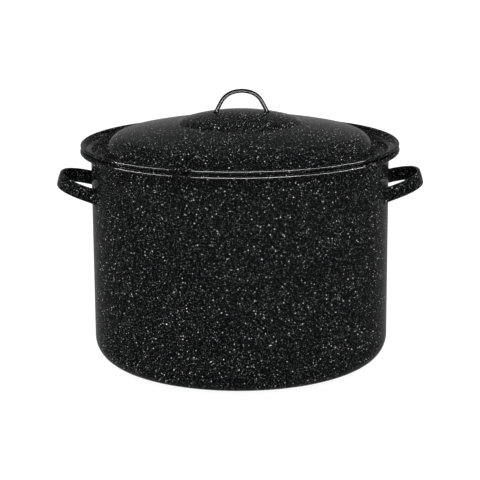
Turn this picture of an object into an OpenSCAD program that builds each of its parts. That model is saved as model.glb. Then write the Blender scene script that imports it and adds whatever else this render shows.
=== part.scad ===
// Water bath canner: an enamelled steel stock pot with a domed lid, and a chromed
// wire rack inside it that holds seven one-litre jars.
// Millimetres, +Z up, +X through the side handles, origin at the centre of the base.

/* [Pot] */
// Outer diameter of the rolled rim
rim_d = 358.4; // [356:0.2:362]
// Outer diameter of the straight wall
body_d = 334.5; // [331:0.5:336]
// Height of the rim above the base
pot_h = 241.5; // [220:0.5:300]
// Radius of the corner between wall and base
base_corner_r = 26; // [16:1:30]
// Radius of the flare between wall and rim flange
flare_r = 9; // [5:0.5:9]
// Radius of the rolled bead on the pot rim
bead_r = 2.4; // [1.8:0.1:2.6]
// Thickness of the enamelled steel sheet
sheet = 1; // [0.8:0.1:1.2]

/* [Side handles] */
// Reach of each handle's upper edge from the centre of the pot
handle_reach = 202.7; // [198:0.1:206]
// Distance of the handle's outer upper edge below the pot rim
handle_drop = 26.7; // [22:0.1:60]
// Upward tilt of the handle loops, in degrees
handle_tilt = 16.5; // [0:0.5:20]
// Width of the handle strap
strap_w = 16.4; // [12:0.2:20]
// Thickness of the handle strap
strap_t = 2.2; // [1.6:0.1:2.4]
// Radius of the rounded edges of the strap
strap_edge_r = 1.6; // [1.2:0.1:2]
// Radius of the loop, seen from above
loop_r = 51.5; // [48:0.5:56]

/* [Lid] */
// Height of the dome's crown above the pot rim
dome_rise = 31.5; // [24:0.5:40]
// Radius of curvature of the dome
dome_r = 587; // [480:1:700]
// Radius of the shoulder round the dome
shoulder_r = 24; // [18:1:28]
// Diameter of the dome at its foot
dome_d = 303; // [292:1:304]
// Depth of the trough below the pot rim
trough_depth = 8; // [5:0.5:10]
// Height of the raised boss above the dome's crown
boss_rise = 8.8; // [8:0.1:11]
// Radius at the foot of the boss
boss_foot_r = 73; // [66:1:76]
// Radius of curvature of the boss top
boss_crown_r = 225; // [205:5:300]
// Radius of the edge of the boss
boss_edge_r = 14; // [10:1:18]
// Radius of the fillet at the foot of the boss
boss_fillet_r = 12; // [8:1:14]
// Radius of the rolled bead on the lid rim
lid_bead_r = 1.9; // [1.6:0.1:2.4]
// Height of the lid's bead centre above the pot rim
lid_bead_rise = 4; // [3.5:0.1:6]

/* [Lid handle] */
// Diameter of the lid handle wire
bail_d = 4.6; // [4:0.1:6]
// Height of the bail's centre line at its top above the boss
bail_rise = 22; // [18:0.1:26]
// Turn of the bail about the lid's axis, in degrees
bail_turn = 5; // [-45:1:45]
// Distance of the bail's middle from the lid's axis, to the right before it is turned
bail_shift = 2; // [-4:0.5:4]

/* [Rack] */
// Radius of the centre line of the rack's top ring
ring_r = 150; // [146:0.5:150]
// Height of the rack's two upper rings above the pot's base
ring_z = 62; // [50:1:70]
// Diameter of the top ring wire
ring_d = 5; // [4:0.5:5]
// Diameter of the other rack wires
wire_d = 4; // [3.5:0.1:4]
// Radius of the centre line of the ring round the middle jar
centre_ring_r = 50.5; // [49:0.5:52]
// Radius of the inner ring that the jars stand on
floor_ring_inner_r = 76; // [72:1:80]
// Radius of the outer ring that the jars stand on
floor_ring_outer_r = 124; // [118:1:128]
// Distance of the two middle bars from the centre
cross_bar_y = 20; // [14:1:26]

/* [Rack handles] */
// Distance of each handle leg from the middle of the handle
leg_y = 40; // [36:1:42]
// Distance from the hinge to the shoulder that hooks over the pot rim
shoulder_u = 108; // [100:1:112]
// Outward step of the shoulder
shoulder_step = 10; // [6:0.5:11]
// Distance from the hinge to the grip
grip_u = 134; // [128:1:138]
// Clearance between the handle eye and the top ring
eye_gap = 0.7; // [0.6:0.1:1]

/* [Hidden] */
$fn = 96;

rim_r = rim_d / 2;
body_r = body_d / 2;
wire_r = wire_d / 2;
bail_r = bail_d / 2;
// Longest chord of a sampled curve, and its largest step in degrees
chord = 2.4;
arc_step = 12;

// Lid, measured upward from the pot's base
ledge_z = pot_h + sheet;
trough_z = pot_h - trough_depth;
lid_bead_z = pot_h + lid_bead_rise;
// How far the lid's bead is set in from the pot's, and how far its sheet runs into the bead
bead_inset = 0.4;
lip_overlap = 0.3;
lid_bead_x = rim_r - bead_inset - lid_bead_r;
lip_r = lid_bead_x - lid_bead_r + lip_overlap;
dome_foot_r = dome_d / 2;
dome_top_z = pot_h + dome_rise;
boss_top_z = dome_top_z + boss_rise;
// Upper face of the lid's step down into the pot: its distance from the wall at the lower
// end, and how much it widens upward
step_gap = 2.8;
step_draft = 2.6;
step_low_r = body_r - sheet - step_gap;
step_high_r = step_low_r + step_draft;
trough_fillet_r = 4;
step_fillet_r = 3.5;
lip_fillet_r = 1.5;

// Half of the arc of a handle loop, which takes both its ends into the wall
loop_half_angle = 96;

// Rack: the wires rest 0.3 mm above the pot's floor, and each weld sinks 0.2 mm
floor_gap = 0.3;
weld = 0.2;
base_wire_z = sheet + floor_gap + wire_r;
floor_ring_z = base_wire_z + wire_d - weld;
divider_outer_r = ring_r - ring_d / 2 - wire_r + weld;
divider_inner_r = centre_ring_r + wire_d - weld;
divider_top_z = ring_z + wire_r;
divider_bend_r = 10;
divider_step = 60;

// Rack handles: each hinge runs along Y, through the top ring at both legs
hinge_x = sqrt(ring_r * ring_r - leg_y * leg_y);
eye_r = ring_d / 2 + eye_gap + wire_r;
// The shortest straight between two bends
joint = 0.01;
leg_bend_r = (shoulder_step - joint) / 2;
handle_bend_r = 9;
// Folded down, the legs lie just above the centre ring
rest_gap = 0.4;
rest_u = hinge_x - sqrt(centre_ring_r * centre_ring_r - leg_y * leg_y);
rest_angle = asin((wire_d + rest_gap) / rest_u);

// ---- Outline functions: every outline is a list of [radius, height] points ----

function unit(v) = v / norm(v);

function polar(centre, r, angle) = centre + r * [cos(angle), sin(angle)];

function arc(centre, r, from, to) =
    let (
        turn = abs(to - from),
        count = max(2, ceil(turn / arc_step), ceil(turn * r * PI / 180 / chord))
    )
    [for (i = [0 : count]) polar(centre, r, from + (to - from) * i / count)];

// The rounded corner at b, on the way from a to c
function corner(a, b, c, r) =
    let (
        back = unit(a - b),
        ahead = unit(c - b),
        half = acos(back * ahead) / 2,
        centre = b + unit(back + ahead) * r / sin(half),
        start = b + back * r / tan(half) - centre,
        from = atan2(start[1], start[0]),
        turn = (180 - 2 * half) * sign(cross(b - a, c - b))
    )
    arc(centre, r, from, from + turn);

// A path through corners, each given as [radius, height, fillet]
function rounded(points) = [
    for (i = [0 : len(points) - 1])
        let (here = [points[i][0], points[i][1]])
        if (i == 0 || i == len(points) - 1) here
        else each corner(
            [points[i - 1][0], points[i - 1][1]], here,
            [points[i + 1][0], points[i + 1][1]], points[i][2])
];

// Drops points that repeat the one before
function distinct(path) = [
    for (i = [0 : len(path) - 1])
        if (i == 0 || norm(path[i] - path[i - 1]) > 0.001) path[i]
];

// The direction square to a path at point i, on its left side
function square_to(path, i) =
    let (
        last = len(path) - 1,
        before = unit(path[max(i, 1)] - path[max(i, 1) - 1]),
        after = unit(path[min(i, last - 1) + 1] - path[min(i, last - 1)]),
        along = unit(before + after)
    )
    [-along[1], along[0]] / (along * before);

// A path moved sideways by a distance, positive to its left, but never across the axis
function beside(path, distance) = [
    for (i = [0 : len(path) - 1])
        let (point = path[i] + distance * square_to(path, i))
        [max(0, point[0]), point[1]]
];

function reversed(path) = [for (i = [len(path) - 1 : -1 : 0]) path[i]];

// Closed outline of a sheet that lies on the left side of a path
function sheet_outline(path, thickness) =
    concat(path, reversed(beside(path, thickness)));

// ---- Wire ----

// A wire bent in the XY plane, from the origin and heading along +X. Each step is
// [straight length, turn to the left in degrees, bend radius].
module bent_wire(steps, r, i = 0) {
    straight = steps[i][0];
    turn = steps[i][1];
    bend_r = steps[i][2];
    side = turn < 0 ? 1 : 0;
    rotate([0, 90, 0]) cylinder(r = r, h = straight, $fn = 32);
    if (turn != 0)
        translate([straight, 0, 0]) mirror([0, side, 0]) translate([0, bend_r, 0]) {
            rotate([0, 0, -90])
                rotate_extrude(angle = abs(turn))
                    translate([bend_r, 0]) circle(r = r, $fn = 32);
            rotate([0, 0, abs(turn)])
                translate([0, -bend_r, 0])
                    mirror([0, side, 0])
                        bent_wire(steps, r, i + 1);
        }
}

// ---- Pot ----

// The outside of the pot, from the centre of the base to the flange
function pot_path() = rounded([
    [0, 0, 0],
    [body_r, 0, base_corner_r],
    [body_r, pot_h - sheet, flare_r],
    [rim_r - bead_r, pot_h - sheet, 0]
]);

module pot_shell() color("#1c1d22") rotate_extrude() {
    polygon(sheet_outline(pot_path(), sheet));
    translate([rim_r - bead_r, pot_h - bead_r]) circle(r = bead_r);
}

// ---- Side handles ----

// Section of the strap: a band whose two edges are rolled inward. Its outer face lies on
// the Y axis, and its upper edge at the origin.
module strap_section() {
    rolled = 360 - acos(1 - strap_t / strap_edge_r);
    polygon(concat(
        arc([-strap_edge_r, strap_edge_r - strap_w], strap_edge_r, 0, -rolled),
        arc([-strap_edge_r, -strap_edge_r], strap_edge_r, rolled, 0)
    ));
}

// The loop in its own plane: its outer upper edge touches the origin, heading out along +X
module handle_loop()
    translate([-loop_r, 0, 0])
        rotate([0, 0, -loop_half_angle])
            rotate_extrude(angle = 2 * loop_half_angle)
                translate([loop_r, 0]) strap_section();

module side_handle() color("#1c1d22") difference() {
    translate([handle_reach, 0, pot_h - handle_drop])
        rotate([0, -handle_tilt, 0])
            handle_loop();
    cylinder(r = body_r, h = pot_h, $fn = 360);
}

module side_handle_right() side_handle();

module side_handle_left() rotate([0, 0, 180]) side_handle();

// ---- Lid ----

// Centres of the lid's arcs. The boss edge touches the boss top from inside and the
// fillet from outside; the fillet touches the dome from outside.
dome_centre = [0, dome_top_z - dome_r];
shoulder_x = dome_foot_r - shoulder_r;
shoulder_centre = [
    shoulder_x,
    dome_centre[1] + sqrt(pow(dome_r - shoulder_r, 2) - pow(shoulder_x, 2))
];
boss_centre = [0, boss_top_z - boss_crown_r];
fillet_centre = [
    boss_foot_r,
    dome_centre[1] + sqrt(pow(dome_r + boss_fillet_r, 2) - pow(boss_foot_r, 2))
];
edge_arm = boss_crown_r - boss_edge_r;
edge_to_fillet = boss_edge_r + boss_fillet_r;
fillet_arm = norm(fillet_centre - boss_centre);
edge_angle = atan2(fillet_centre[1] - boss_centre[1], fillet_centre[0])
    + acos((pow(edge_arm, 2) + pow(fillet_arm, 2) - pow(edge_to_fillet, 2))
        / (2 * edge_arm * fillet_arm));
edge_centre = polar(boss_centre, edge_arm, edge_angle);
flank_angle = atan2(fillet_centre[1] - edge_centre[1], fillet_centre[0] - edge_centre[0]);
foot_angle = atan2(fillet_centre[1] - dome_centre[1], fillet_centre[0]);
shoulder_angle = atan2(shoulder_centre[1] - dome_centre[1], shoulder_x);
wall_angle = asin((trough_z + trough_fillet_r - shoulder_centre[1])
    / (shoulder_r + trough_fillet_r));
trough_centre = polar(shoulder_centre, shoulder_r + trough_fillet_r, wall_angle);

// The top of the lid, from its middle to the inside of its bead
function lid_path() = distinct(concat(
    arc(boss_centre, boss_crown_r, 90, edge_angle),
    arc(edge_centre, boss_edge_r, edge_angle, flank_angle),
    arc(fillet_centre, boss_fillet_r, 180 + flank_angle, 180 + foot_angle),
    arc(dome_centre, dome_r, foot_angle, shoulder_angle),
    arc(shoulder_centre, shoulder_r, shoulder_angle, wall_angle),
    arc(trough_centre, trough_fillet_r, 180 + wall_angle, 270),
    rounded([
        [trough_centre[0], trough_z, 0],
        [step_low_r, trough_z, step_fillet_r],
        [step_high_r, ledge_z, step_fillet_r],
        [lip_r, ledge_z, lip_fillet_r],
        [lip_r, lid_bead_z, 0]
    ])
));

module lid_shell() color("#1c1d22") {
    rotate_extrude() polygon(sheet_outline(lid_path(), -sheet));
    translate([0, 0, lid_bead_z]) rotate_extrude() translate([lid_bead_x, 0]) circle(r = lid_bead_r);
}

// ---- Lid handle ----

// Centre line of the bail, from its middle: a flat crown, a rounder haunch and a straight
// splayed leg. A ball a hair thicker than the wire joins each pair of these.
crown_r = 33;
crown_turn = 18;
haunch_r = 22;
haunch_turn = 44;
leg_turn = crown_turn + haunch_turn;
haunch_foot = crown_r * (1 - cos(crown_turn)) + haunch_r * (cos(crown_turn) - cos(leg_turn));
leg_length = (bail_rise - haunch_foot + 1.5 * bail_d) / sin(leg_turn);
ball_r = bail_r + 0.05;
ball_gap = 0.15;

// One arc of the bail, which stops just short of the balls at its ends
module bail_arc(r, from, sweep) {
    short = ball_gap / r * 180 / PI;
    rotate([0, 0, from + short])
        rotate_extrude(angle = sweep - 2 * short)
            translate([r, 0]) circle(r = bail_r, $fn = 32);
}

// The bail standing in the XY plane, with the middle of its crown at the origin
module bail() translate([0, -crown_r, 0]) {
    bail_arc(crown_r, 90 - crown_turn, 2 * crown_turn);
    for (side = [-1, 1])
        translate((crown_r - haunch_r) * [side * sin(crown_turn), cos(crown_turn), 0]) {
            bail_arc(haunch_r, 90 - side * crown_turn - (side > 0 ? haunch_turn : 0), haunch_turn);
            for (turn = [crown_turn, leg_turn])
                rotate([0, 0, 90 - side * turn]) translate([haunch_r, 0, 0]) sphere(ball_r);
            rotate([0, 0, 90 - side * leg_turn])
                translate([haunch_r, 0, 0])
                    rotate([90 * side, 0, 0])
                        translate([0, 0, ball_gap])
                            cylinder(r = bail_r, h = leg_length, $fn = 32);
        }
}

// The legs end halfway through the boss's sheet, where they are welded
module lid_handle() color("#17181c") difference() {
    rotate([0, 0, bail_turn])
        translate([bail_shift, 0, boss_top_z + bail_rise])
            rotate([90, 0, 0])
                bail();
    translate([0, 0, boss_top_z - boss_crown_r]) sphere(boss_crown_r - sheet / 2, $fn = 360);
}

// ---- Rack ----

// A level ring of round wire
module wire_ring(r, z, d) color("#c9ccd0")
    translate([0, 0, z]) rotate_extrude() translate([r, 0]) circle(d = d, $fn = 32);

module rack_top_ring() wire_ring(ring_r, ring_z, ring_d);

module rack_centre_ring() wire_ring(centre_ring_r, ring_z, wire_d);

module rack_floor_ring_inner() wire_ring(floor_ring_inner_r, floor_ring_z, wire_d);

module rack_floor_ring_outer() wire_ring(floor_ring_outer_r, floor_ring_z, wire_d);

// A wire from the top ring down, in along the floor and up to the centre ring
module rack_divider(number) color("#c9ccd0")
    rotate([0, 0, divider_step * (number - 1)])
        translate([divider_outer_r, 0, divider_top_z])
            rotate([0, 90, 0]) rotate([90, 0, 0])
                bent_wire([
                    [divider_top_z - base_wire_z - divider_bend_r, -90, divider_bend_r],
                    [divider_outer_r - divider_inner_r - 2 * divider_bend_r, -90, divider_bend_r],
                    [divider_top_z - base_wire_z - divider_bend_r, 0, 0]
                ], wire_r);

// A straight wire under the inner floor ring, which carries the middle jar
module rack_cross_bar(side) {
    half = sqrt(pow(floor_ring_inner_r, 2) - pow(cross_bar_y, 2)) + wire_r;
    color("#c9ccd0")
        translate([-half, side * cross_bar_y, base_wire_z])
            rotate([0, 90, 0])
                cylinder(r = wire_r, h = 2 * half, $fn = 32);
}

module rack_cross_bar_front() rack_cross_bar(-1);

module rack_cross_bar_rear() rack_cross_bar(1);

// ---- Rack handles ----

// Half of a handle, folded flat, with its hinge along Y and its leg heading along +X:
// the eye round the top ring, the leg, the shoulder that steps up, and half the grip
module rack_handle_half() {
    translate([0, leg_y, 0]) {
        rotate([90, 0, 0])
            rotate_extrude() translate([eye_r, 0]) circle(r = wire_r, $fn = 32);
        translate([eye_r, 0, 0])
            rotate([90, 0, 0])
                bent_wire([
                    [shoulder_u - eye_r - leg_bend_r, 90, leg_bend_r],
                    [joint, -90, leg_bend_r],
                    [grip_u - shoulder_u - leg_bend_r - handle_bend_r, 0, 0]
                ], wire_r);
    }
    translate([grip_u - handle_bend_r, leg_y, shoulder_step])
        bent_wire([[joint, -90, handle_bend_r], [leg_y - handle_bend_r, 0, 0]], wire_r);
}

module rack_handle() color("#c9ccd0")
    translate([hinge_x, 0, ring_z])
        rotate([0, rest_angle, 0])
            mirror([1, 0, 0])
                for (side = [0, 1]) mirror([0, side, 0]) rack_handle_half();

module rack_handle_right() rack_handle();

module rack_handle_left() mirror([1, 0, 0]) rack_handle();

pot_shell();
side_handle_left();
side_handle_right();
lid_shell();
lid_handle();
rack_top_ring();
rack_centre_ring();
rack_floor_ring_inner();
rack_floor_ring_outer();
rack_divider(1);  // rack_divider_1
rack_divider(2);  // rack_divider_2
rack_divider(3);  // rack_divider_3
rack_divider(4);  // rack_divider_4
rack_divider(5);  // rack_divider_5
rack_divider(6);  // rack_divider_6
rack_cross_bar_front();
rack_cross_bar_rear();
rack_handle_left();
rack_handle_right();
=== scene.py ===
import math

import bmesh
import bpy
from mathutils import Matrix, Vector


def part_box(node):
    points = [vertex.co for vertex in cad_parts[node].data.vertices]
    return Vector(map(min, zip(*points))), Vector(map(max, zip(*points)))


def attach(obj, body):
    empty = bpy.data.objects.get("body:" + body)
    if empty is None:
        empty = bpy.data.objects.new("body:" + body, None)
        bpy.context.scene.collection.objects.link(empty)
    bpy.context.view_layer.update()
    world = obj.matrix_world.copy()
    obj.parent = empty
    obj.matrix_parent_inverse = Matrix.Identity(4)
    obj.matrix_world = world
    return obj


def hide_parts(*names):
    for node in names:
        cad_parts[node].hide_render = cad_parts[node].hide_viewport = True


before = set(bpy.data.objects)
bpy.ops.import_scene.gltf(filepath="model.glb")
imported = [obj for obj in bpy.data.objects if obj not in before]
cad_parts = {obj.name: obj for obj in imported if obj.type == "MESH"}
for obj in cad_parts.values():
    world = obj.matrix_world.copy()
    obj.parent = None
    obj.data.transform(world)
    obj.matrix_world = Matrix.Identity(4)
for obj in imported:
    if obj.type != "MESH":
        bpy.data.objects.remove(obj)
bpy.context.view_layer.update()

MM = 0.001
SEGMENTS = 240          # steps round the pot and the lid
ARC_STEP = 7            # largest turn between two points of an outline, in degrees
LONGEST_CHORD = 4       # and the largest distance between them, in millimetres

# ---- Sizes, in millimetres, as the CAD model has them ----

RIM_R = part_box("pot_shell")[1].x / MM
POT_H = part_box("pot_shell")[1].z / MM
BODY_R = 167.25
BASE_CORNER_R = 26
FLARE_R = 9
BEAD_R = 2.4
SHEET = 1

POT_CURL_END = -215     # angles at which the two rolled edges end, in degrees
LID_CURL_END = -125

LID_BEAD_R = 1.9
BEAD_INSET = 0.4
LEDGE_Z = POT_H + SHEET
TROUGH_Z = POT_H - 8
LID_BEAD_Z = POT_H + 4
DOME_TOP_Z = POT_H + 31.5
DOME_R = 587
SHOULDER_R = 24
DOME_FOOT_R = 151.5
BOSS_TOP_Z = DOME_TOP_Z + 8.8
BOSS_FOOT_R = 73
BOSS_CROWN_R = 225
BOSS_EDGE_R = 14
BOSS_FILLET_R = 12
STEP_LOW_R = BODY_R - SHEET - 2.8
STEP_HIGH_R = STEP_LOW_R + 2.6
STEP_FILLET_R = 3.5
TROUGH_FILLET_R = 4
LIP_FILLET_R = 1.6

HANDLE_REACH = 202.7
HANDLE_TOP_Z = POT_H - 26.7
HANDLE_TILT = math.radians(16.5)
STRAP_W = 16.4
STRAP_T = 2.2
STRAP_EDGE_R = 1.6
STRAP_BULGE = 0.35      # how far the middle of the strap's outer face stands out

BAIL_R = 2.3
BAIL_RISE = 22
BAIL_BENDS = [(33, 18), (22, 44)]   # (radius, turn in degrees), from the middle to the leg
BAIL_SHIFT = 2
BAIL_TURN = math.radians(5)


# ---- Outlines: lists of (radius, height) points in millimetres ----

def angle_of(v):
    return math.degrees(math.atan2(v.y, v.x))


def heading_of(angle):
    """The unit vector at an angle in degrees."""
    return Vector((math.cos(math.radians(angle)), math.sin(math.radians(angle))))


def arc(centre, r, start, end):
    """Points on an arc, from one angle to another in degrees."""
    length = abs(math.radians(end - start)) * r
    count = max(2, math.ceil(abs(end - start) / ARC_STEP), math.ceil(length / LONGEST_CHORD))
    angles = [math.radians(start + (end - start) * i / count) for i in range(count + 1)]
    return [Vector((centre[0] + r * math.cos(a), centre[1] + r * math.sin(a))) for a in angles]


def corner(before, at, after, r):
    """The arc that rounds the corner at a point, between its two neighbours."""
    back = (before - at).normalized()
    ahead = (after - at).normalized()
    half = back.angle(ahead) / 2
    centre = at + (back + ahead).normalized() * r / math.sin(half)
    start = angle_of(at + back * r / math.tan(half) - centre)
    turn = 180 - 2 * math.degrees(half)
    left = (at - before).x * (after - at).y - (at - before).y * (after - at).x
    return arc(centre, r, start, start + math.copysign(turn, left))


def rounded(points):
    """A path through corners, each given as (radius, height, fillet)."""
    at = [Vector(p[:2]) for p in points]
    path = [at[0]]
    for i in range(1, len(points) - 1):
        path += corner(at[i - 1], at[i], at[i + 1], points[i][2])
    return path + [at[-1]]


def distinct(path):
    """Drops the points that repeat the one before."""
    kept = [path[0]]
    for point in path[1:]:
        if (point - kept[-1]).length > 0.01:
            kept.append(point)
    return kept


def subdivided(path, longest=6):
    """Splits long straights, so that every face of a lathed sheet is of a similar size."""
    made = [path[0]]
    for point in path[1:]:
        last = made[-1]
        count = max(1, math.ceil((point - last).length / longest))
        made += [last.lerp(point, i / count) for i in range(1, count + 1)]
    return made


def beside(path, distance):
    """A path moved sideways, positive to its left, but never across the axis."""
    moved = []
    for i, point in enumerate(path):
        before = (point - path[i - 1]).normalized() if i else (path[1] - point).normalized()
        after = (path[i + 1] - point).normalized() if i < len(path) - 1 else before
        along = (before + after).normalized()
        side = Vector((-along.y, along.x)) / max(0.5, along.dot(before))
        moved.append(point + side * distance)
        moved[-1].x = max(0, moved[-1].x)
    return moved


def sheet_outline(path, thickness):
    """Outline of a sheet whose middle follows a path from the axis to a free, rounded edge."""
    half = thickness / 2
    heading = angle_of(path[-1] - path[-2])
    edge = arc(path[-1], half, heading - 90, heading + 90)
    return beside(path, -half) + edge[1:-1] + beside(path, half)[::-1]


# ---- Meshes ----

def mesh_object(name, verts, faces):
    """A smooth mesh object from points in millimetres, with its faces turned outwards."""
    mesh = bpy.data.meshes.new(name)
    mesh.from_pydata([Vector(v) * MM for v in verts], [], faces)
    solid = bmesh.new()
    solid.from_mesh(mesh)
    bmesh.ops.recalc_face_normals(solid, faces=solid.faces)
    solid.to_mesh(mesh)
    solid.free()
    mesh.shade_smooth()
    piece = bpy.data.objects.new(name, mesh)
    bpy.context.scene.collection.objects.link(piece)
    return piece


def lathe(name, outline):
    """A sheet turned about the Z axis; its outline starts and ends on the axis."""
    turned = outline[1:-1]
    verts = [(0, 0, outline[0].y), (0, 0, outline[-1].y)]
    for i in range(SEGMENTS):
        angle = 2 * math.pi * i / SEGMENTS
        verts += [(p.x * math.cos(angle), p.x * math.sin(angle), p.y) for p in turned]
    count = len(turned)
    faces = []
    for i in range(SEGMENTS):
        here = 2 + i * count
        there = 2 + (i + 1) % SEGMENTS * count
        faces += [(here + j, there + j, there + j + 1, here + j + 1) for j in range(count - 1)]
        faces.append((0, there, here))
        faces.append((1, here + count - 1, there + count - 1))
    return mesh_object(name, verts, faces)


def tube_of_rings(name, rings):
    """A closed skin through rings of equally many points, with a fan of faces at each end."""
    count = len(rings[0])
    verts = [point for ring in rings for point in ring]
    faces = []
    for i in range(len(rings) - 1):
        for j in range(count):
            k = (j + 1) % count
            faces.append((i * count + j, i * count + k, (i + 1) * count + k, (i + 1) * count + j))
    faces.append(tuple(reversed(range(count))))
    faces.append(tuple(range(len(verts) - count, len(verts))))
    return mesh_object(name, verts, faces)


# ---- Pot ----

def pot_outline():
    half = SHEET / 2
    curl_r = BEAD_R - half
    curl = (RIM_R - BEAD_R, POT_H - BEAD_R)
    wall = rounded([
        (0, half, 0),
        (BODY_R - half, half, BASE_CORNER_R - half),
        (BODY_R - half, POT_H - half, FLARE_R + half),
        (curl[0], POT_H - half, 0),
    ])
    return sheet_outline(distinct(subdivided(wall) + arc(curl, curl_r, 90, POT_CURL_END)), SHEET)


# ---- Lid ----

def lid_outline():
    half = SHEET / 2
    dome = Vector((0, DOME_TOP_Z - DOME_R))
    shoulder_x = DOME_FOOT_R - SHOULDER_R
    shoulder_z = dome.y + math.sqrt((DOME_R - SHOULDER_R) ** 2 - shoulder_x ** 2)
    shoulder = Vector((shoulder_x, shoulder_z))
    boss = Vector((0, BOSS_TOP_Z - BOSS_CROWN_R))
    fillet_z = dome.y + math.sqrt((DOME_R + BOSS_FILLET_R) ** 2 - BOSS_FOOT_R ** 2)
    fillet = Vector((BOSS_FOOT_R, fillet_z))
    # The edge of the boss touches the boss's top from inside and the fillet from outside
    edge_arm = BOSS_CROWN_R - BOSS_EDGE_R
    fillet_arm = (fillet - boss).length
    edge_to_fillet = BOSS_EDGE_R + BOSS_FILLET_R
    edge_angle = angle_of(fillet - boss) + math.degrees(math.acos(
        (edge_arm ** 2 + fillet_arm ** 2 - edge_to_fillet ** 2) / (2 * edge_arm * fillet_arm)))
    edge = boss + edge_arm * heading_of(edge_angle)
    flank_angle = angle_of(fillet - edge)
    foot_angle = angle_of(fillet - dome)
    shoulder_angle = angle_of(shoulder - dome)
    trough_arm = SHOULDER_R + TROUGH_FILLET_R
    wall_angle = math.degrees(math.asin((TROUGH_Z + TROUGH_FILLET_R - shoulder.y) / trough_arm))
    trough = shoulder + trough_arm * heading_of(wall_angle)
    curl_r = LID_BEAD_R - half
    curl = (RIM_R - BEAD_INSET - LID_BEAD_R, LID_BEAD_Z)
    lip_r = curl[0] - curl_r
    top = (
        arc(boss, BOSS_CROWN_R - half, 90, edge_angle)
        + arc(edge, BOSS_EDGE_R - half, edge_angle, flank_angle)
        + arc(fillet, BOSS_FILLET_R + half, 180 + flank_angle, 180 + foot_angle)
        + arc(dome, DOME_R - half, foot_angle, shoulder_angle)
        + arc(shoulder, SHOULDER_R - half, shoulder_angle, wall_angle)
        + arc(trough, TROUGH_FILLET_R + half, 180 + wall_angle, 270)
        + rounded([
            (trough.x, TROUGH_Z - half, 0),
            (STEP_LOW_R + half, TROUGH_Z - half, STEP_FILLET_R + half),
            (STEP_HIGH_R + half, LEDGE_Z - half, STEP_FILLET_R - half),
            (lip_r, LEDGE_Z - half, LIP_FILLET_R),
            (lip_r, LID_BEAD_Z, 0),
        ])
        + arc(curl, curl_r, 180, LID_CURL_END)
    )
    return sheet_outline(distinct(subdivided(distinct(top))), SHEET)


# ---- Side handles ----

# Plan of the loop, from its tip to the wall: (radius, turn in degrees) of each bend
LOOP_BENDS = [(59, 19.8), (40, 16.9), (47, 50)]
WELD_RUN = 9            # length of the straight at each end of the loop, where the strap flares
WELD_UP = 7
WELD_DOWN = 3.5
WELD_SIDE = 2.4
WELD_STEPS = 14
STRAP_FLAT = 0.55       # share of the strap's half width that the weld doesn't spread up or down
WALL_HIT_R = BODY_R - SHEET / 2


def strap_section():
    """Section of the strap as (outward, up) points: a band with thicker, rounded edges."""
    hem = STRAP_EDGE_R
    top = arc((-hem, -hem), hem, 0, 250)
    bottom = arc((-hem, hem - STRAP_W), hem, 110, 360)
    inner = [Vector((-STRAP_T, -STRAP_W * t)) for t in (0.24, 0.5, 0.76)]
    outer = []
    for t in (0.8, 0.6, 0.4, 0.2):
        bulge = STRAP_BULGE * math.sin(math.pi * t)
        outer.append(Vector((bulge, -STRAP_W * (0.1 + 0.8 * t))))
    return top + inner + bottom + outer


def loop_path():
    """Half of the loop in its own plane, from the tip: places and headings, as (out, along)."""
    place = Vector((0, 0))
    heading = 90
    path = [(place.copy(), Vector((0, 1)))]
    for r, turn in LOOP_BENDS:
        centre = place - r * heading_of(heading - 90)
        for point in arc(centre, r, heading - 90, heading - 90 + turn)[1:]:
            path.append((point, heading_of(angle_of(point - centre) + 90)))
        place = path[-1][0]
        heading += turn
    return path


def placed(point):
    """From the loop's plane (out, along, up) to the row frame of the right-hand handle."""
    tilt = Matrix.Rotation(-HANDLE_TILT, 3, "Y")
    return tilt @ Vector(point) + Vector((HANDLE_REACH, 0, HANDLE_TOP_Z))


def to_wall(point, direction):
    """Distance from a point along a direction to the middle of the pot's wall."""
    a = direction.x ** 2 + direction.y ** 2
    b = point.x * direction.x + point.y * direction.y
    c = point.x ** 2 + point.y ** 2 - WALL_HIT_R ** 2
    if b * b < a * c:
        return math.inf
    return (-b - math.sqrt(b * b - a * c)) / a


def flare(distance, r):
    """How far a concave fillet of radius r stands out at a distance from the wall."""
    if distance >= r:
        return 0
    return r - math.sqrt(r * r - (r - distance) ** 2)


def strap_ring(section, place, heading):
    outward = Vector((heading.y, -heading.x))
    return [placed((*(place + outward * p.x), p.y)) for p in section]


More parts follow.
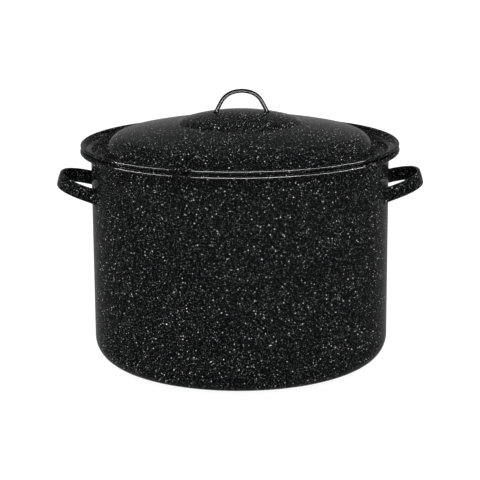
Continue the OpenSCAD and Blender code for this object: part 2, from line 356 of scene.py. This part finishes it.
def side_handle(name, node, mirrored):
    section = strap_section()
    path = loop_path()
    # The part of the loop that is well clear of the wall, then the straight, flared end
    rings = []
    for place, heading in path:
        ring = strap_ring(section, place, heading)
        direction = placed((*heading, 0)) - placed((0, 0, 0))
        if min(to_wall(v, direction) for v in ring) < WELD_RUN:
            break
        rings.append(ring)
        last, last_heading, last_direction = place, heading, direction
    outward = placed((last_heading.y, -last_heading.x, 0)) - placed((0, 0, 0))
    upward = placed((0, 0, 1)) - placed((0, 0, 0))
    middle = Vector((-STRAP_T / 2, -STRAP_W / 2))
    base = rings[-1]
    for i in range(1, WELD_STEPS + 1):
        share = i / WELD_STEPS
        ring = []
        for point, p in zip(base, section):
            across = Vector(((p.x - middle.x) / STRAP_T * 2, (p.y - middle.y) / STRAP_W * 2))
            gap = to_wall(point, last_direction) * (1 - math.sin(share * math.pi / 2))
            weld = WELD_UP if across.y > 0 else WELD_DOWN
            lean = max(0, abs(across.y) - STRAP_FLAT) / (1 - STRAP_FLAT)
            shift = outward * max(-1, min(1, across.x)) * flare(gap, WELD_SIDE)
            shift += upward * math.copysign(lean, across.y) * flare(gap, weld)
            moved = point + shift
            ring.append(moved + last_direction * (to_wall(moved, last_direction) - gap))
        rings.append(ring)
    far = [[Vector((v.x, -v.y, v.z)) for v in ring] for ring in rings[:0:-1]]
    piece = tube_of_rings(name, far + rings)
    if mirrored:
        piece.data.transform(Matrix.Rotation(math.pi, 4, "Z"))
    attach(piece, "pot")
    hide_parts(node)
    return piece


# ---- Lid handle ----

BAIL_SIDES = 40
BAIL_STEPS = 24         # rings of each leg
BAIL_WELD = 2.2         # how far the weld stands out round the leg


def bail_path():
    """Half of the bail's centre line, from its top: (across, up), with its headings."""
    place = Vector((0, 0))
    heading = 0
    path = [(place.copy(), Vector((1, 0)))]
    for r, turn in BAIL_BENDS:
        centre = place - r * heading_of(heading + 90)
        for point in arc(centre, r, 90 + heading, 90 + heading - turn)[1:]:
            path.append((point, heading_of(angle_of(point - centre) - 90)))
        place = path[-1][0]
        heading -= turn
    return path


def to_boss(point, direction):
    """Distance from a point along a direction to the middle of the boss's sheet."""
    off = point - Vector((0, 0, BOSS_TOP_Z - BOSS_CROWN_R))
    b = off.dot(direction)
    c = off.length_squared - (BOSS_CROWN_R - SHEET / 2) ** 2
    return -b - math.sqrt(b * b - c)


def half_bail(side):
    """Rings of the bail from its middle to the foot on one side, which is -1 or 1."""
    rings = []
    for place, heading in bail_path():
        normal = Vector((-heading.y, heading.x)) * BAIL_R
        ring = []
        for i in range(BAIL_SIDES):
            a = 2 * math.pi * i / BAIL_SIDES
            flat = place + normal * math.cos(a)
            across = side * flat.x + BAIL_SHIFT
            ring.append(Vector((across, BAIL_R * math.sin(a), flat.y + BOSS_TOP_Z + BAIL_RISE)))
        rings.append(ring)
    heading = bail_path()[-1][1]
    direction = Vector((side * heading.x, 0, heading.y))
    base = rings[-1]
    middle = sum(base, Vector((0, 0, 0))) / BAIL_SIDES
    for i in range(1, BAIL_STEPS + 1):
        share = math.sin(i / BAIL_STEPS * math.pi / 2)
        ring = []
        for point in base:
            gap = to_boss(point, direction) * (1 - share)
            moved = point + (point - middle).normalized() * flare(gap, BAIL_WELD)
            ring.append(moved + direction * (to_boss(moved, direction) - gap))
        rings.append(ring)
    return rings


def build_bail():
    piece = tube_of_rings("bail", half_bail(-1)[:0:-1] + half_bail(1))
    piece.data.transform(Matrix.Rotation(BAIL_TURN, 4, "Z"))
    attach(piece, "lid")
    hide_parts("lid_handle")
    return piece


# ---- Materials ----

ENAMEL_BLACK = (0.0010, 0.0011, 0.0014, 1)
SPECK_WHITE = (0.92, 0.93, 0.92, 1)
GLASS_IOR = 1.5
# Layers of specks: size of a cell and range of the radii, in metres, range of the brightness,
# and whether they lie closer in some places
SPECK_LAYERS = [
    (0.0010, (0.0002, 0.0004), (0.005, 0.10), False),
    (0.0014, (0.0002, 0.0004), (0.02, 0.34), True),
    (0.0024, (0.0002, 0.00045), (0.15, 1.00), False),
    (0.0054, (0.0004, 0.0006), (0.80, 1.00), False),
]
SPECK_SOFT_EDGE = 0.0001
SPECK_WANDER = 0.0003


def new_material(name):
    material = bpy.data.materials.new(name)
    material.use_nodes = True
    nodes = material.node_tree.nodes
    return material, nodes, material.node_tree.links, nodes["Principled BSDF"]


def math_node(nodes, links, operation, a, b=None, clamp=False):
    node = nodes.new("ShaderNodeMath")
    node.operation = operation
    node.use_clamp = clamp
    for socket, value in zip(node.inputs, (a, b)):
        if value is None:
            continue
        if isinstance(value, (int, float)):
            socket.default_value = value
        else:
            links.new(value, socket)
    return node.outputs[0]


def noise_node(nodes, links, coords, scale, detail):
    node = nodes.new("ShaderNodeTexNoise")
    node.inputs["Scale"].default_value = scale
    node.inputs["Detail"].default_value = detail
    links.new(coords, node.inputs["Vector"])
    return node


def map_range(nodes, links, value, from_range, to_range):
    node = nodes.new("ShaderNodeMapRange")
    for name, number in zip(("From Min", "From Max", "To Min", "To Max"), (*from_range, *to_range)):
        node.inputs[name].default_value = number
    links.new(value, node.inputs["Value"])
    return node.outputs[0]


def speckle_layer(nodes, links, coords, cell, radii, brightness, seed):
    """Round specks, one round the middle of each cell of a random foam that the surface cuts.
    Sizes are in metres. The output is the brightness of the speck, or 0 between specks."""
    # The foam's grid is turned out of line with the wall, or it would show as bands
    turned = nodes.new("ShaderNodeMapping")
    turned.inputs["Location"].default_value = (seed * 0.37, seed * 0.71, seed * 0.13)
    turned.inputs["Rotation"].default_value = (0.6, 0.5, seed)
    links.new(coords, turned.inputs["Vector"])
    voronoi = nodes.new("ShaderNodeTexVoronoi")
    voronoi.inputs["Scale"].default_value = 1 / cell
    links.new(turned.outputs[0], voronoi.inputs["Vector"])
    chance = nodes.new("ShaderNodeSeparateColor")
    links.new(voronoi.outputs["Color"], chance.inputs[0])
    radius = map_range(nodes, links, chance.outputs[0], (0, 1), [r / cell for r in radii])
    inside = math_node(nodes, links, "SUBTRACT", radius, voronoi.outputs["Distance"])
    mask = math_node(nodes, links, "MULTIPLY", inside, cell / SPECK_SOFT_EDGE, clamp=True)
    # Bright specks are rarer than dim ones
    rare = math_node(nodes, links, "POWER", chance.outputs[1], 2)
    level = map_range(nodes, links, rare, (0, 1), brightness)
    return math_node(nodes, links, "MULTIPLY", mask, level)


def wandering(nodes, links, coords):
    """The coordinates moved a little by noise, so that the outlines of the specks wander."""
    noise = noise_node(nodes, links, coords, 900, 1)
    centred = nodes.new("ShaderNodeVectorMath")
    centred.operation = "SUBTRACT"
    centred.inputs[1].default_value = (0.5, 0.5, 0.5)
    links.new(noise.outputs["Color"], centred.inputs[0])
    scaled = nodes.new("ShaderNodeVectorMath")
    scaled.operation = "SCALE"
    scaled.inputs["Scale"].default_value = SPECK_WANDER
    links.new(centred.outputs[0], scaled.inputs[0])
    moved = nodes.new("ShaderNodeVectorMath")
    moved.operation = "ADD"
    links.new(coords, moved.inputs[0])
    links.new(scaled.outputs[0], moved.inputs[1])
    return moved.outputs[0]


def enamel_material():
    """Gloss black vitreous enamel with white specks, and the slight waviness of the glaze."""
    material, nodes, links, shader = new_material("enamel_speckled")
    coords = nodes.new("ShaderNodeTexCoord").outputs["Object"]
    place = wandering(nodes, links, coords)
    # Some specks lie closer in some places than in others
    drift = noise_node(nodes, links, coords, 45, 2)
    density = map_range(nodes, links, drift.outputs["Fac"], (0.35, 0.62), (0.7, 1))
    specks = 0
    for seed, (cell, radii, brightness, drifts) in enumerate(SPECK_LAYERS, 1):
        layer = speckle_layer(nodes, links, place, cell, radii, brightness, seed)
        if drifts:
            layer = math_node(nodes, links, "MULTIPLY", layer, density)
        specks = math_node(nodes, links, "MAXIMUM", specks, layer)
    colour = nodes.new("ShaderNodeMix")
    colour.data_type = "RGBA"
    colour.inputs[6].default_value = ENAMEL_BLACK
    colour.inputs[7].default_value = SPECK_WHITE
    links.new(specks, colour.inputs[0])
    links.new(colour.outputs[2], shader.inputs["Base Color"])
    # The glaze: long, shallow waves, and specks that stand a hair proud
    waves = noise_node(nodes, links, coords, 60, 3)
    height = math_node(nodes, links, "MULTIPLY_ADD", specks, 0.02)
    links.new(waves.outputs["Fac"], height.node.inputs[2])
    bump = nodes.new("ShaderNodeBump")
    bump.inputs["Strength"].default_value = 0.15
    bump.inputs["Distance"].default_value = 0.0004
    links.new(height, bump.inputs["Height"])
    links.new(bump.outputs[0], shader.inputs["Normal"])
    shader.inputs["Roughness"].default_value = 0.1
    shader.inputs["IOR"].default_value = GLASS_IOR
    return material


def plain_enamel_material():
    """The black enamel of the bail, which has no specks."""
    material, nodes, links, shader = new_material("enamel_plain")
    coords = nodes.new("ShaderNodeTexCoord").outputs["Object"]
    waves = noise_node(nodes, links, coords, 120, 2)
    roughness = map_range(nodes, links, waves.outputs["Fac"], (0, 1), (0.1, 0.2))
    links.new(roughness, shader.inputs["Roughness"])
    shader.inputs["Base Color"].default_value = ENAMEL_BLACK
    shader.inputs["IOR"].default_value = GLASS_IOR
    return material


def chrome_material():
    """Bright chromed wire, with a little haze and faint grain."""
    material, nodes, links, shader = new_material("chromed_wire")
    coords = nodes.new("ShaderNodeTexCoord").outputs["Object"]
    haze = noise_node(nodes, links, coords, 140, 4)
    roughness = map_range(nodes, links, haze.outputs["Fac"], (0, 1), (0.1, 0.26))
    links.new(roughness, shader.inputs["Roughness"])
    tint = nodes.new("ShaderNodeMix")
    tint.data_type = "RGBA"
    tint.inputs[6].default_value = (0.56, 0.57, 0.59, 1)
    tint.inputs[7].default_value = (0.72, 0.73, 0.75, 1)
    links.new(haze.outputs["Fac"], tint.inputs[0])
    links.new(tint.outputs[2], shader.inputs["Base Color"])
    grain = noise_node(nodes, links, coords, 1800, 2)
    bump = nodes.new("ShaderNodeBump")
    bump.inputs["Strength"].default_value = 0.1
    bump.inputs["Distance"].default_value = 0.00002
    links.new(grain.outputs["Fac"], bump.inputs["Height"])
    links.new(bump.outputs[0], shader.inputs["Normal"])
    shader.inputs["Metallic"].default_value = 1
    return material


def paint(piece, material):
    piece.data.materials.clear()
    piece.data.materials.append(material)


# ---- The pieces ----

enamel = enamel_material()
chrome = chrome_material()

pot = lathe("pot", pot_outline())
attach(pot, "pot")
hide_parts("pot_shell")

lid = lathe("lid", lid_outline())
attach(lid, "lid")
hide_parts("lid_shell")

handle_right = side_handle("handle_right", "side_handle_right", False)
handle_left = side_handle("handle_left", "side_handle_left", True)
bail = build_bail()

for piece in (pot, lid, handle_right, handle_left):
    paint(piece, enamel)
paint(bail, plain_enamel_material())
rack_wires = [piece for name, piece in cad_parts.items() if name.startswith("rack")]
for piece in rack_wires:
    paint(piece, chrome)
    piece.data.shade_smooth()

# ---- Floor, light and camera ----

FLOOR_DROP = 0.0003     # metres below the pot's base, so that the two faces don't coincide
LIGHT_DISTANCE = 2.6
STUDIO_STRENGTH = 2
ROOM_DARK = 0.025       # strength that mirrored rays see, and the same low down at the back
ROOM_GLOW = 0.21
GLOW_HEIGHT = 0.55      # as the height of a direction, which is 1 straight up
GLOW_FOCUS = 7


def build_floor():
    size = 6
    corners = [(-size, -size), (size, -size), (size, size), (-size, size)]
    mesh = bpy.data.meshes.new("floor")
    mesh.from_pydata([(x, y, -FLOOR_DROP) for x, y in corners], [], [(0, 1, 2, 3)])
    floor = bpy.data.objects.new("floor", mesh)
    bpy.context.scene.collection.objects.link(floor)
    material, nodes, links, shader = new_material("floor_white")
    shader.inputs["Base Color"].default_value = (0.12, 0.12, 0.12, 1)
    shader.inputs["Roughness"].default_value = 0.8
    shader.inputs["Specular IOR Level"].default_value = 0
    shader.inputs["Emission Color"].default_value = (1, 1, 1, 1)
    shader.inputs["Emission Strength"].default_value = 0.92
    floor.data.materials.append(material)
    floor.visible_glossy = False


def add_softbox(name, shines_on, left, right, low, high, power):
    """A softbox that only some pieces mirror. Its left and right ends are azimuths in degrees,
    with 0 at the camera, its edges are heights in metres, and power is for each square metre."""
    span = right - left
    data = bpy.data.lights.new(name, "AREA")
    data.shape = "RECTANGLE"
    data.size = 2 * LIGHT_DISTANCE * math.tan(math.radians(span / 2))
    data.size_y = high - low
    data.energy = power * data.size * data.size_y
    light = bpy.data.objects.new(name, data)
    angle = math.radians((left + right) / 2 - 90)
    across = LIGHT_DISTANCE * math.cos(angle)
    away = LIGHT_DISTANCE * math.sin(angle)
    light.location = (across, away, (low + high) / 2)
    light.rotation_euler = (math.pi / 2, 0, angle + math.pi / 2)
    light.visible_camera = False
    light.visible_diffuse = False
    light.light_linking.receiver_collection = shines_on
    bpy.context.scene.collection.objects.link(light)


def build_world():
    """A white studio. Mirrored rays see a dark room instead, lighter only low down at the
    back, which keeps the black enamel black."""
    world = bpy.data.worlds.new("studio")
    world.use_nodes = True
    nodes = world.node_tree.nodes
    links = world.node_tree.links
    direction = nodes.new("ShaderNodeTexCoord").outputs["Generated"]
    parts = nodes.new("ShaderNodeSeparateXYZ")
    links.new(direction, parts.inputs[0])
    low = map_range(nodes, links, parts.outputs[2], (0, GLOW_HEIGHT), (1, 0))
    back = map_range(nodes, links, parts.outputs[1], (-1, 1), (0, 1))
    far_back = math_node(nodes, links, "POWER", back, GLOW_FOCUS)
    glow = math_node(nodes, links, "MULTIPLY", low, far_back)
    room = map_range(nodes, links, glow, (0, 1), (ROOM_DARK, ROOM_GLOW))
    path = nodes.new("ShaderNodeLightPath")
    strength = nodes.new("ShaderNodeMix")
    links.new(path.outputs["Is Glossy Ray"], strength.inputs[0])
    strength.inputs[2].default_value = STUDIO_STRENGTH
    links.new(room, strength.inputs[3])
    background = nodes["Background"]
    background.inputs[0].default_value = (1, 1, 1, 1)
    links.new(strength.outputs[0], background.inputs[1])
    bpy.context.scene.world = world


def group(name, pieces):
    """A collection of pieces that a light may shine on."""
    collection = bpy.data.collections.new(name)
    for piece in pieces:
        collection.objects.link(piece)
    return collection


def build_light():
    build_world()
    # A row of softboxes, which draws the bright lines along the rims
    rims = group("rims", [pot, lid])
    add_softbox("softbox_left", rims, -95, -48, 0.2, 0.4, 150)
    add_softbox("softbox_middle", rims, -33, 42, 0.38, 0.62, 250)
    add_softbox("softbox_right", rims, 42, 95, 0.2, 0.4, 150)
    # A lower one, which draws a thin line along the bail
    add_softbox("softbox_bail", group("wire", [bail]), -40, 55, 0.2, 0.45, 120)
    # Tall panels all round, which only the chromed rack mirrors
    rack = group("rack", rack_wires)
    for i in range(4):
        turn = 90 * i
        add_softbox(f"panel_{i}", rack, turn - 40, turn + 40, 0, 2.2, 3)


CAMERA_PLACE = Vector((0, -1.85, 0.568))
CAMERA_TARGET = Vector((-0.0005, 0, 0.1325))
CAMERA_ROLL = -0.0059   # radians
CAMERA_LENS = 124.9     # millimetres, on a sensor of 36


def build_camera():
    """The camera stands 1.85 m before the pot and 0.57 m up, and looks at its middle."""
    data = bpy.data.cameras.new("camera")
    data.sensor_width = 36
    data.lens = CAMERA_LENS
    camera = bpy.data.objects.new("camera", data)
    facing = (CAMERA_TARGET - CAMERA_PLACE).to_track_quat("-Z", "Y").to_matrix()
    camera.location = CAMERA_PLACE
    camera.rotation_euler = (facing @ Matrix.Rotation(CAMERA_ROLL, 3, "Z")).to_euler()
    bpy.context.scene.collection.objects.link(camera)
    bpy.context.scene.camera = camera


build_floor()
build_light()
build_camera()
bpy.context.scene.view_settings.view_transform = "Standard"
